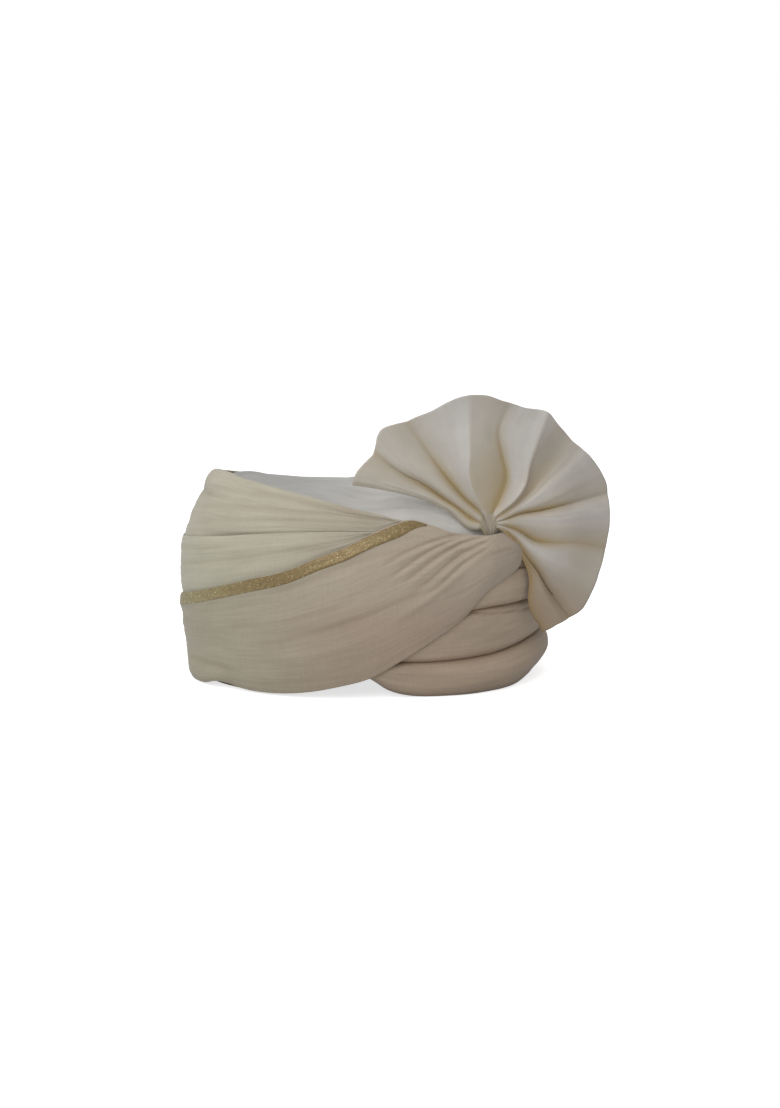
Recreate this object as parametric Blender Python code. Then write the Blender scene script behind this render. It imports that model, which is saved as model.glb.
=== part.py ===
"""A ready-tied cream pagri: a wound oval turban with a pleated fan standing at its side.

Metres, +Z up. The turban stands on its rim. The forehead end points to -X, the nape end to +X, and the
side with the knot and the fan faces -Y. Angles run round the oval in degrees: 0 is the knot side (-Y),
90 the nape end (+X), -90 the forehead end (-X) and -180 the far side (+Y).
"""

import math

import bpy
import numpy as np
from mathutils import Matrix

# Driving sizes
HEAD_LENGTH = 0.206        # the head opening, from forehead to nape
HEAD_WIDTH = 0.166
BODY_LENGTH = 0.268        # the wound rolls at their widest, without the cloths drawn over them
BODY_WIDTH = 0.210
ROLLS_HEIGHT = 0.122       # height of the four wound rolls together
CREST_HEIGHT = 0.153       # highest edge, over the forehead
CROWN_HEIGHT = 0.141
WIDEST_HEIGHT = 0.072      # where the wall stands furthest out
FOOT_TUCK = 0.008          # how far the wall draws in at the rim
TOP_TUCK = 0.031           # how far it draws in at the crest's edge
TOP_TUCK_CURVE = 2.8       # how late that happens: 1 is a straight slope
ROLL_CREASE = 0.0045       # depth of the creases between two rolls
RIM_BULGE = 0.0090         # how far the bare part of the rim roll stands proud
CLOTH_EDGE = 0.0012        # two layers of cloth at a folded edge
CLOTH_FULL = 0.0036        # the loose folds in the middle of a drawn cloth
CLOTH_FOLD = 0.0007        # height of the long folds on a drawn cloth
CLOTH_OVERLAP = 0.008      # how far one cloth lies over the next
CROWN_CLOTH = 0.0022
BORDER_WIDTH = 0.0088      # the gold woven border
BORDER_CLOTH = 0.0006
FAN_RADIUS = 0.090
FAN_CLOTH = 0.0016
NECK_WIDTH = 0.013         # the gathered neck of the fan
NECK_DEPTH = 0.0040
NECK_LENGTH = 0.017
NECK_ROOT = 0.0075         # radius at which the neck opens into the fan
LIP_BULGE = 0.0090         # how far the knot's lip stands off the rolls, over the neck
GAP = 0.0003               # clearance between neighbouring pieces
REST = 0.0005              # how far the drawn cloths, the neck and the border lie off what is under them

# Where the knot is, and how the fan stands there
KNOT_ANGLE = 43.0
KNOT_HEIGHT = 0.1225
FAN_STAND_OFF = 0.0115     # from the rolls' wall to the fan's middle plane at the knot
FAN_TURN = 10.0            # degrees the fan's face is turned towards the nape
FAN_LEAN = 4.0             # degrees it leans back over the crown
FAN_WRAP = 0.18            # slope at which the nape half bends back round the wall

# How the edges run round the oval. Each row is an angle in degrees and a height as a share of ROLLS_HEIGHT.
ROLL_JOINS = {
    "rim": [(-180, 0.24), (-90, 0.24), (0, 0.235), (25, 0.222), (45, 0.236), (68, 0.29), (100, 0.30), (140, 0.26)],
    "low": [(-180, 0.50), (-90, 0.49), (0, 0.485), (28, 0.49), (45, 0.508), (68, 0.515), (100, 0.53), (140, 0.515)],
    "mid": [(-180, 0.75), (-90, 0.75), (0, 0.74), (54, 0.74), (100, 0.76), (140, 0.76)],
}
RIM_LOW = [(-180, 0.0), (-45, 0.0), (-34, 0.016), (-20, 0.04), (-10, 0.08), (-3, 0.118), (1, 0.125), (3.5, 0.10),
           (7, 0.055), (11, 0.025), (16, 0.006), (21, 0.0), (100, 0.0)]
FRONT_LOW = [(-205, 0.68), (-192, 0.57), (-178, 0.42), (-165, 0.25), (-150, 0.10), (-135, 0.03), (-110, 0.006),
             (-75, 0.006), (-60, 0.012), (-53, 0.040), (-45, 0.018), (-30, 0.012), (-18, 0.035), (-8, 0.075),
             (2, 0.13), (12, 0.238), (22, 0.355), (32, 0.472), (40, 0.60), (47, 0.67), (54, 0.745)]
FRONT_TOP = [(-205, 0.86), (-190, 0.78), (-170, 0.65), (-145, 0.53), (-110, 0.47), (-90, 0.48), (-76, 0.52),
             (-59, 0.582), (-48, 0.632), (-37, 0.688), (-22, 0.768), (-13, 0.845), (-5, 0.905), (2, 0.97),
             (8, 1.013), (15, 1.046), (22, 1.013), (28, 0.97), (38, 0.946), (47, 0.944), (51, 0.91), (54, 0.83)]
BROW_TOP = [(-205, 0.99), (-180, 0.93), (-150, 0.88), (-110, 0.87), (-90, 0.87), (-70, 0.875), (-50, 0.915),
            (-37, 0.945), (-23, 0.971), (-10, 0.983), (0, 0.984), (6, 0.984)]
CREST_EDGE = [(-205, 0.81), (-185, 0.825), (-160, 0.865), (-130, 0.92), (-100, 0.96), (-76, 0.98), (-60, 1.0),
              (-39, 0.995), (-23, 0.97), (-11, 0.915), (-3, 0.88), (9, 0.855), (15, 0.835), (18, 0.80)]

# The crown's section from its foot to its middle, as shares of the half width and of the rise
CROWN_SECTION = [
    {"inward": 0.000, "rise": 0.00},
    {"inward": 0.030, "rise": 0.28},
    {"inward": 0.075, "rise": 0.55},
    {"inward": 0.160, "rise": 0.76},
    {"inward": 0.300, "rise": 0.89},
    {"inward": 0.550, "rise": 0.97},
    {"inward": 0.930, "rise": 1.00},
]

# The fan's folds from the crown side round to the nape side: the angle at the rim and at the neck, how far
# the fold stands forward half way out and at the rim, and how far the rim reaches, as shares of FAN_RADIUS
FAN_FOLDS = [
    {"rim": 162.8, "neck": 168, "mid": -0.02, "edge": -0.02, "reach": 1.120},
    {"rim": 156.0, "neck": 160, "mid": 0.05, "edge": 0.03, "reach": 1.100},
    {"rim": 148.0, "neck": 152, "mid": -0.07, "edge": -0.02, "reach": 1.055},
    {"rim": 138.5, "neck": 146, "mid": 0.05, "edge": 0.05, "reach": 1.100},
    {"rim": 127.0, "neck": 138, "mid": -0.08, "edge": -0.05, "reach": 1.020},
    {"rim": 112.0, "neck": 118, "mid": 0.06, "edge": 0.05, "reach": 0.985},
    {"rim": 95.0, "neck": 96, "mid": -0.03, "edge": -0.03, "reach": 1.005},
    {"rim": 86.0, "neck": 88, "mid": 0.01, "edge": 0.02, "reach": 0.980},
    {"rim": 79.0, "neck": 80, "mid": -0.05, "edge": -0.05, "reach": 0.955},
    {"rim": 69.0, "neck": 62, "mid": 0.07, "edge": 0.05, "reach": 0.952},
    {"rim": 60.5, "neck": 30, "mid": -0.08, "edge": -0.05, "reach": 1.010},
    {"rim": 38.0, "neck": 22, "mid": 0.06, "edge": 0.05, "reach": 0.962},
    {"rim": 15.5, "neck": 13, "mid": -0.09, "edge": -0.06, "reach": 1.050},
    {"rim": 1.0, "neck": 3, "mid": 0.05, "edge": 0.05, "reach": 1.030},
    {"rim": -14.0, "neck": -8, "mid": -0.07, "edge": -0.01, "reach": 1.025},
    {"rim": -30.0, "neck": -16, "mid": 0.05, "edge": 0.05, "reach": 1.035},
    {"rim": -46.0, "neck": -20, "mid": -0.05, "edge": -0.06, "reach": 1.068},
    {"rim": -56.0, "neck": -24, "mid": 0.02, "edge": 0.02, "reach": 1.005},
    {"rim": -64.5, "neck": -27, "mid": -0.03, "edge": -0.08, "reach": 0.985},
]

# Surface finishes read from the cloth: colour, roughness, metallic
FINISHES = {
    "cream_cloth": ((0.52, 0.47, 0.38), 0.75, 0.0),
    "satin_cloth": ((0.54, 0.51, 0.46), 0.45, 0.0),
    "gold_border": ((0.40, 0.31, 0.14), 0.40, 0.7),
}

RING_STATIONS = 48         # sections round the oval, which every piece shares
NEAR_SPLITS = 2            # steps between two of them on the knot side
FAN_SPLITS = 2             # columns between two folds of the fan
FAN_ROWS = 7
FAN_TWIST = 1.3            # how soon the folds leave the neck's direction


def along(table, angle):
    """Height share at an angle, by a smooth curve that keeps the rows' own values."""
    xs = np.array([row[0] for row in table], float)
    ys = np.array([row[1] for row in table], float)
    slopes = np.gradient(ys, xs)
    i = np.clip(np.searchsorted(xs, angle) - 1, 0, len(xs) - 2)
    step = xs[i + 1] - xs[i]
    s = np.clip((angle - xs[i]) / step, 0, 1)
    return (ys[i] * (1 + 2 * s) * (1 - s) ** 2 + ys[i + 1] * s * s * (3 - 2 * s)
            + step * (slopes[i] * s * (1 - s) ** 2 - slopes[i + 1] * s * s * (1 - s)))


def round_oval(table, angle):
    """Height share at an angle on a closed ring, where the table's first row repeats after a turn."""
    turn = 360.0
    whole = [(a - turn, v) for a, v in table] + table + [(a + turn, v) for a, v in table]
    return along(whole, (angle + 180.0) % turn - 180.0)


def ease(value, start, end):
    """0 before start, 1 after end, and smooth between them."""
    s = np.clip((value - start) / (end - start), 0, 1)
    return s * s * (3 - 2 * s)


def tuck(height):
    """How far the wall has drawn in at a height: a parabola below the widest place, a steeper curve above."""
    below = np.clip((WIDEST_HEIGHT - height) / WIDEST_HEIGHT, 0, None)
    above = np.clip((height - WIDEST_HEIGHT) / (CREST_HEIGHT - WIDEST_HEIGHT), 0, None)
    return FOOT_TUCK * below ** 2 + TOP_TUCK * above ** TOP_TUCK_CURVE


def wall(angle, height, out=0.0):
    """A point on the oval wall: out is how far it stands off the rolls."""
    half_length = BODY_LENGTH / 2 - tuck(height) + out
    half_width = BODY_WIDTH / 2 - tuck(height) + out
    turn = math.radians(angle)
    return (half_length * math.sin(turn), -half_width * math.cos(turn), float(height))


def head_wall(angle, height):
    """A point on the wall of the head opening."""
    turn = math.radians(angle)
    return (HEAD_LENGTH / 2 * math.sin(turn), -HEAD_WIDTH / 2 * math.cos(turn), float(height))


def material(name):
    """One finish as a Principled material."""
    found = bpy.data.materials.get(name)
    if found:
        return found
    colour, roughness, metallic = FINISHES[name]
    made = bpy.data.materials.new(name)
    made.use_nodes = True
    shader = made.node_tree.nodes["Principled BSDF"]
    shader.inputs["Base Color"].default_value = (*colour, 1.0)
    shader.inputs["Roughness"].default_value = roughness
    shader.inputs["Metallic"].default_value = metallic
    return made


def add_piece(name, points, faces, finish):
    """A named object from points and faces, shaded smooth with its sharp edges kept."""
    mesh = bpy.data.meshes.new(name)
    mesh.from_pydata([tuple(p) for p in points], [], faces)
    mesh.materials.append(material(finish))
    mesh.shade_smooth()
    mesh.set_sharp_from_angle(angle=math.radians(50))
    piece = bpy.data.objects.new(name, mesh)
    bpy.context.scene.collection.objects.link(piece)
    return piece


def loft(name, sections, finish, closed=False):
    """Joins loops of equally many points into one solid: a ring if closed, otherwise with two end caps.

    Each loop runs up the outer side and down the inner side, and the loops follow the rising angle.
    """
    count, size = len(sections), len(sections[0])
    points = [p for section in sections for p in section]
    faces = []
    for i in range(count if closed else count - 1):
        j = (i + 1) % count
        for k in range(size):
            m = (k + 1) % size
            faces.append((i * size + k, j * size + k, j * size + m, i * size + m))
    if not closed:
        faces.append(tuple(range(size)))
        faces.append(tuple((count - 1) * size + k for k in reversed(range(size))))
    return add_piece(name, points, faces, finish)


def bare_rim(angle):
    """1 where no drawn cloth covers the rim roll, and 0 where one does."""
    angle = (angle + 180.0) % 360.0 - 180.0
    return float(ease(angle, 14, 38) if angle > -100 else 1 - ease(angle, -178, -160))


def roll(name, low, high, bulge=0.0):
    """One wound roll: a full ring whose outer side is rounded between its two creases."""
    outer_shares = [0.0, 0.10, 0.28, 0.50, 0.72, 0.90, 1.0]
    sections = []
    for i in range(RING_STATIONS):
        angle = -180.0 + 360.0 * i / RING_STATIONS
        bottom, top = low(angle), high(angle)
        section = []
        for share in outer_shares:
            out = bulge * bare_rim(angle) * math.sin(math.pi * share) - ROLL_CREASE * abs(2 * share - 1) ** 3
            section.append(wall(angle, bottom + share * (top - bottom), out))
        section.append(head_wall(angle, top))
        section.append(head_wall(angle, bottom))
        sections.append(section)
    return loft(name, sections, "cream_cloth", closed=True)


def rim_low(angle):
    """The rim's foot: flat on the surface, but arched up where the cloth is drawn up at the knot side."""
    return ROLLS_HEIGHT * max(0.0, float(round_oval(RIM_LOW, angle)))


def rolls():
    """The four wound rolls that carry everything, from the rim up."""
    half = GAP / 2

    def join(key, shift):
        return lambda angle: ROLLS_HEIGHT * float(round_oval(ROLL_JOINS[key], angle)) + shift

    roll("rim_roll", rim_low, join("rim", -half), RIM_BULGE)
    roll("low_roll", join("rim", half), join("low", -half))
    roll("middle_roll", join("low", half), join("mid", -half))
    roll("upper_roll", join("mid", half), lambda angle: ROLLS_HEIGHT)


def crown():
    """The satin cloth over the top: a shallow oval dome whose foot stands on the upper roll."""
    foot = ROLLS_HEIGHT + GAP
    rise = CROWN_HEIGHT - foot

    def ring(row, shell):
        height = foot + row["rise"] * rise
        inward = row["inward"] * (BODY_WIDTH / 2 - tuck(height)) + shell * (1 - row["rise"])
        spots = [wall(360.0 * i / RING_STATIONS, height, -inward) for i in range(RING_STATIONS)]
        return [(x, y, z - shell * math.sqrt(row["rise"])) for x, y, z in spots]

    outer = [ring(row, 0.0) for row in CROWN_SECTION]
    inner = [ring(row, CROWN_CLOTH) for row in CROWN_SECTION]
    loops = list(reversed(outer)) + inner
    points = [p for loop in loops for p in loop]
    size = RING_STATIONS
    faces = []
    for i in range(len(loops) - 1):
        for k in range(size):
            m = (k + 1) % size
            faces.append((i * size + k, (i + 1) * size + k, (i + 1) * size + m, i * size + m))
    faces.append(tuple(range(size)))
    faces.append(tuple((len(loops) - 1) * size + k for k in reversed(range(size))))
    return add_piece("crown_cloth", points, faces, "satin_cloth")


def front_low(angle):
    return ROLLS_HEIGHT * float(along(FRONT_LOW, angle))


def front_top(angle):
    return ROLLS_HEIGHT * float(along(FRONT_TOP, angle))


def brow_low(angle):
    return front_top(angle) - CLOTH_OVERLAP


def brow_top(angle):
    """The brow cloth's upper edge. It closes on the front cloth where the two meet."""
    return max(ROLLS_HEIGHT * float(along(BROW_TOP, angle)), brow_low(angle) + CLOTH_OVERLAP / 2)


def crest_low(angle):
    """The crest cloth's lower edge: under the brow cloth, then against it, then under the front cloth."""
    by_brow = brow_top(angle) + GAP - CLOTH_OVERLAP * float(1 - ease(angle, -30, -18))
    past_brow = float(ease(angle, BROW_END, BROW_END + 6))
    return by_brow * (1 - past_brow) + brow_low(angle) * past_brow


def crest_top(angle):
    return max(CREST_HEIGHT * float(along(CREST_EDGE, angle)), crest_low(angle) + CLOTH_OVERLAP / 2)


def lip(angle, height):
    """How far the front cloth lifts off the rolls to pass over the fan's neck at the knot."""
    across = 1 - ease(abs(angle - KNOT_ANGLE), 3.5, 9.0)
    upwards = ease(height, KNOT_HEIGHT - 1.5 * NECK_LENGTH, KNOT_HEIGHT - 0.9 * NECK_LENGTH)
    return LIP_BULGE * float(across * upwards)


CLOTHS_END = -202.5        # where the drawn cloths are tucked in on the far side
FRONT_END = 54.0           # the front cloth's end at the knot
BROW_END = 3.75
CREST_END = 18.75
BORDER_END = 18.75
CLOTHS = {
    "front_cloth": {
        "low": front_low, "high": front_top, "rows": 12, "folds": 4, "first": CLOTHS_END, "last": FRONT_END,
        "over": lambda angle: 1 - ease(angle, CREST_END, CREST_END + 6), "lift": lip,
        "tucked": lambda angle: 0.0,
    },
    "brow_cloth": {
        "low": brow_low, "high": brow_top, "rows": 8, "folds": 2, "first": CLOTHS_END, "last": BROW_END,
        "over": lambda angle: 1 - ease(angle, -18, -14), "lift": lambda angle, height: 0.0,
        "tucked": lambda angle: CLOTH_OVERLAP,
    },
    "crest_cloth": {
        "low": crest_low, "high": crest_top, "rows": 10, "folds": 3, "first": CLOTHS_END, "last": CREST_END,
        "over": lambda angle: 0.0, "lift": lambda angle, height: 0.0,
        "tucked": lambda angle: max(CLOTH_OVERLAP * float(1 - ease(angle, -30, -18)),
                                    front_top(angle) - crest_low(angle), 0.0),
    },
}


def stations(first, last):
    """Angles from first to last: the rolls' own stations, with more between them on the knot side."""
    coarse = 360.0 / RING_STATIONS
    fine = coarse / NEAR_SPLITS
    angles = [i * coarse for i in range(-2 * RING_STATIONS, -3)]
    angles += [-3 * coarse + i * fine for i in range(10 * RING_STATIONS)]
    return [first] + [a for a in angles if first + 0.3 * fine < a < last - 0.3 * fine] + [last]


def margins(cloth, angle):
    """Heights at which the cloth's inner side turns, from its upper edge down to where it lies on the rolls."""
    low, high = cloth["low"](angle), cloth["high"](angle)
    span = high - low
    steps = [(0.0, 0.0), (0.5, 0.2), (1.0, 0.4), (1.7, 0.6)]
    return [high - min(by_width * CLOTH_OVERLAP, by_span * span) for by_width, by_span in steps]


def inner_out(cloth, angle, height):
    """How far the cloth's inner side stands off the rolls."""
    edges = margins(cloth, angle)
    over_next = (CLOTH_EDGE + GAP) * float(cloth["over"](angle) * ease(height, edges[3], edges[2]))
    return REST + over_next + cloth["lift"](angle, height)


def outer_out(cloth, angle, height):
    """How far its outer side stands off them: thin at the edges and where tucked, fuller between."""
    low, high = cloth["low"](angle), cloth["high"](angle)
    tucked = cloth["tucked"](angle)
    bare = high - low - tucked
    if bare <= 0 or height <= low + tucked:
        return inner_out(cloth, angle, height) + CLOTH_EDGE
    inside = (height - low - tucked) / bare
    body = min(1.0, bare / (4 * CLOTH_OVERLAP)) * (1 - abs(2 * inside - 1) ** 3)
    wave = math.sin(math.pi * inside * cloth["folds"]) ** 2
    return inner_out(cloth, angle, height) + CLOTH_EDGE + body * (CLOTH_FULL - CLOTH_EDGE - CLOTH_FOLD * wave)


def drawn_cloth(name):
    """A cloth drawn round the rolls: each section runs up its outer side and down its inner side."""
    cloth = CLOTHS[name]
    sections = []
    for angle in stations(cloth["first"], cloth["last"]):
        low, high = cloth["low"](angle), cloth["high"](angle)
        knee = low + max(min(cloth["tucked"](angle), 0.5 * (high - low)), 0.05 * (high - low))
        heights = [low] + [knee + (high - knee) * i / cloth["rows"] for i in range(cloth["rows"] + 1)]
        edges = margins(cloth, angle)
        back = edges + [edges[3] + (low - edges[3]) * i / 5 for i in range(1, 6)]
        section = [wall(angle, height, outer_out(cloth, angle, height)) for height in heights]
        section += [wall(angle, height, inner_out(cloth, angle, height)) for height in back]
        sections.append(section)
    return loft(name, sections, "cream_cloth")


def gold_border():
    """The gold border woven along the front cloth's upper edge, until that edge turns over near the knot."""
    front = CLOTHS["front_cloth"]
    sections = []
    for angle in stations(CLOTHS_END + 7.5, BORDER_END):
        left = float(ease(BORDER_END + 3 - angle, 0, 12))
        high = front_top(angle) - GAP
        low = high - BORDER_WIDTH * left
        heights = [low + share * (high - low) for share in (0.0, 0.4, 0.8, 1.0)]
        outs = [outer_out(front, angle, height) + REST for height in heights]
        section = [wall(angle, height, out + BORDER_CLOTH) for height, out in zip(heights, outs)]
        section += [wall(angle, height, out) for height, out in reversed(list(zip(heights, outs)))]
        sections.append(section)
    return loft("gold_border", sections, "gold_border")


def fan_frame():
    """The knot's place, and the fan's directions across, up and towards the viewer."""
    turn, lean = math.radians(FAN_TURN), math.radians(FAN_LEAN)
    across = np.array([math.cos(turn), math.sin(turn), 0.0])
    facing = np.array([math.sin(turn) * math.cos(lean), -math.cos(turn) * math.cos(lean), math.sin(lean)])
    up = np.cross(facing, across)
    return np.array(wall(KNOT_ANGLE, KNOT_HEIGHT)) + facing * FAN_STAND_OFF, across, up, facing


def fold_line(row, out):
    """Angle, forward lift and reach of a fold at a share of the way out from the neck to the rim."""
    straighten = (1 - out) ** FAN_TWIST
    angle = math.radians(row["rim"] + (row["neck"] - row["rim"]) * straighten)
    grow = float(ease(out, 0.0, 0.35))
    settle = float(ease(out, 0.45, 1.0))
    lift = FAN_RADIUS * grow * (row["mid"] * (1 - settle) + row["edge"] * settle)
    return angle, lift, row["reach"]


def fan_columns():
    """Fold rows with the columns between them, mixed in equal steps."""
    columns = []
    for left, right in zip(FAN_FOLDS[:-1], FAN_FOLDS[1:]):
        for i in range(FAN_SPLITS):
            mix = i / FAN_SPLITS
            columns.append({key: left[key] * (1 - mix) + right[key] * mix for key in left})
    columns.append(FAN_FOLDS[-1])
    return columns


def fan():
    """The pleated fan: one cloth gathered in a flat neck behind the knot's lip and opened to a wide sector."""
    centre, across, up, facing = fan_frame()
    columns = fan_columns()
    count = len(columns)
    front, back = [], []
    rows = 0
    around = math.degrees(NECK_WIDTH / math.hypot(BODY_LENGTH / 2, BODY_WIDTH / 2)) * math.sqrt(2)
    for step in (1.0, 0.7, 0.4):
        rows += 1
        height = KNOT_HEIGHT - NECK_LENGTH * step
        out = REST + (FAN_STAND_OFF - NECK_DEPTH) * 0.5 * (1 - step)
        for i in range(count):
            angle = KNOT_ANGLE + around * (i / (count - 1) - 0.5)
            front.append(np.array(wall(angle, height, out + NECK_DEPTH)))
            back.append(np.array(wall(angle, height, out)))
    for r in range(FAN_ROWS + 1):
        rows += 1
        out = (r / FAN_ROWS) ** 1.15
        for column in columns:
            angle, lift, reach = fold_line(column, out)
            distance = NECK_ROOT + (FAN_RADIUS * reach - NECK_ROOT) * out
            x, y = distance * math.cos(angle), distance * math.sin(angle)
            wrap = FAN_WRAP * x * float(ease(x, 0.0, 0.3 * FAN_RADIUS)) if x > 0 else 0.0
            spot = centre + across * x + up * y + facing * (lift - wrap)
            thick = NECK_DEPTH + (FAN_CLOTH - NECK_DEPTH) * float(ease(out, 0.0, 0.3))
            front.append(spot + facing * thick / 2)
            back.append(spot - facing * thick / 2)
    total = len(front)
    faces = []
    for r in range(rows - 1):
        for i in range(count - 1):
            a, b, c, d = r * count + i, r * count + i + 1, (r + 1) * count + i + 1, (r + 1) * count + i
            faces.append((a, b, c, d))
            faces.append((total + d, total + c, total + b, total + a))
    edge = [i for i in range(count)]
    edge += [r * count + count - 1 for r in range(1, rows)]
    edge += [(rows - 1) * count + i for i in reversed(range(count - 1))]
    edge += [r * count for r in reversed(range(1, rows - 1))]
    for a, b in zip(edge, edge[1:] + edge[:1]):
        faces.append((b, a, total + a, total + b))
    return add_piece("pleated_fan", front + back, faces, "satin_cloth")


def stand_on_origin():
    """Moves the whole turban so that the middle of its bounding box's foot is the origin."""
    pieces = [o for o in bpy.context.scene.objects if o.type == "MESH"]
    corners = np.array([tuple(v.co) for o in pieces for v in o.data.vertices])
    low, high = corners.min(axis=0), corners.max(axis=0)
    shift = Matrix.Translation((-(low[0] + high[0]) / 2, -(low[1] + high[1]) / 2, -low[2]))
    for piece in pieces:
        piece.data.transform(shift)


def main():
    for old in list(bpy.data.objects):
        bpy.data.objects.remove(old)
    rolls()
    crown()
    for name in CLOTHS:
        drawn_cloth(name)
    gold_border()
    fan()
    stand_on_origin()


main()
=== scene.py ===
"""The dressed pagri: drawn and wound cream cloth, a satin crown, a gold woven border and a pleated fan.

Lengths are in metres in the frame's own axes unless a name ends in MM. Angles run round the oval body in
degrees: 0 is the knot side (-Y), 90 the nape end (+X), -90 the forehead end and -180 the far side.
"""

import math

import bpy
import numpy as np
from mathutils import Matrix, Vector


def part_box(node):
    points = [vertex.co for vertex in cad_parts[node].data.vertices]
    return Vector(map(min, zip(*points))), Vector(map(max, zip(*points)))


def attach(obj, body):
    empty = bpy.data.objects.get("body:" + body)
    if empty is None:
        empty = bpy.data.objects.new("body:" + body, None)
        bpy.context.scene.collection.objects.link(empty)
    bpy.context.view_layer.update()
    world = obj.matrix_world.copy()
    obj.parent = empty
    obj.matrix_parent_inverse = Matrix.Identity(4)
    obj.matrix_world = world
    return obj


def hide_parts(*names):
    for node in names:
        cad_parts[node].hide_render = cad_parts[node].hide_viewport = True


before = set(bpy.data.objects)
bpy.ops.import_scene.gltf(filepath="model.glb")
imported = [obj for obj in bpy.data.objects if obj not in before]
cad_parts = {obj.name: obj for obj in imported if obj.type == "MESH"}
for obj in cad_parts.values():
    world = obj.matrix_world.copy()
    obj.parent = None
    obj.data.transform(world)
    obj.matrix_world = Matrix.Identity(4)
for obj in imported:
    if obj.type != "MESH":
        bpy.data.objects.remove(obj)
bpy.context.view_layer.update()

# The wound body, as in the solids
HEAD_LENGTH, HEAD_WIDTH = 0.206, 0.166
BODY_LENGTH, BODY_WIDTH = 0.268, 0.210
ROLLS_HEIGHT, CREST_HEIGHT, CROWN_HEIGHT = 0.122, 0.153, 0.141
WIDEST_HEIGHT = 0.072
FOOT_TUCK, TOP_TUCK, TOP_TUCK_CURVE = 0.008, 0.031, 2.8
ROLL_CREASE = 0.0045
RIM_BULGE = 0.0090
OVERLAP = 0.008
REST = 0.0005
GAP = 0.0003
BORDER_WIDTH = 0.0088
CREAM_THICKNESS, SATIN_THICKNESS, BORDER_THICKNESS = 0.00035, 0.0012, 0.0002
HEM_MARGIN = 0.006
FAR_END_ROUND, NEAR_END_ROUND = 0.003, 0.0045
KNOT_ANGLE, KNOT_HEIGHT = 43.0, 0.1225
FAN_RADIUS = 0.090
FAN_STAND_OFF = 0.0115
FAN_TURN, FAN_LEAN, FAN_WRAP = 10.0, 4.0, 0.18
NECK_WIDTH, NECK_DEPTH, NECK_LENGTH, NECK_ROOT = 0.013, 0.0040, 0.017, 0.0075
LIP_BULGE = 0.0090
CLOTHS_END, FRONT_END, BROW_END, CREST_END, BORDER_END = -202.5, 54.0, 3.75, 18.75, 18.75

# Edges round the oval: angle, height as a share of ROLLS_HEIGHT (of CREST_HEIGHT for the crest)
ROLL_JOINS = {
    "rim": [(-180, 0.24), (-90, 0.24), (0, 0.226), (25, 0.209), (45, 0.22), (68, 0.264), (100, 0.285),
            (140, 0.26)],
    "low": [(-180, 0.5), (-90, 0.49), (0, 0.485), (28, 0.49), (45, 0.508), (68, 0.515), (100, 0.53),
            (140, 0.515)],
    "mid": [(-180, 0.75), (-90, 0.75), (0, 0.74), (54, 0.728), (100, 0.76), (140, 0.76)],
}
RIM_LOW = [(-180, 0), (-45, 0), (-34, 0.016), (-20, 0.04), (-10, 0.08), (-3, 0.118), (1, 0.125), (3.5, 0.1),
           (7, 0.055), (11, 0.025), (16, 0.006), (21, 0), (100, 0)]
FRONT_LOW = [(-205, 0.68), (-192, 0.57), (-178, 0.42), (-165, 0.25), (-150, 0.1), (-135, 0.03), (-110, 0.006),
             (-75, 0.006), (-60, 0.012), (-53, 0.04), (-45, 0.018), (-30, 0.012), (-18, 0.035), (-8, 0.075),
             (2, 0.13), (12, 0.238), (22, 0.355), (32, 0.472), (40, 0.6), (47, 0.67), (54, 0.745)]
FRONT_TOP = [(-205, 0.86), (-190, 0.78), (-170, 0.65), (-145, 0.53), (-110, 0.47), (-90, 0.48), (-76, 0.52),
             (-59, 0.582), (-48, 0.632), (-37, 0.688), (-22, 0.768), (-13, 0.845), (-5, 0.905), (2, 0.97),
             (8, 1.013), (15, 1.046), (22, 1.013), (28, 0.97), (38, 0.946), (47, 0.944), (51, 0.91),
             (54, 0.83)]
BROW_TOP = [(-205, 0.99), (-180, 0.93), (-150, 0.88), (-120, 0.85), (-100, 0.836), (-86, 0.843), (-70, 0.872),
            (-50, 0.915), (-37, 0.945), (-23, 0.971), (-10, 0.983), (0, 0.984), (6, 0.984)]
CREST_EDGE = [(-205, 0.81), (-185, 0.825), (-160, 0.865), (-130, 0.92), (-105, 0.965), (-90, 0.988),
              (-80, 0.999), (-70, 1.002), (-62, 0.998), (-54, 0.984), (-44, 0.972), (-32, 0.956),
              (-22, 0.936), (-12, 0.911), (-4, 0.886), (4, 0.864), (10, 0.84), (15, 0.822), (18, 0.8)]
CROWN_SECTION = [(0, 0), (0.03, 0.28), (0.075, 0.55), (0.16, 0.76), (0.3, 0.89), (0.55, 0.97),
                 (0.93, 1), (1, 1)]

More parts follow.
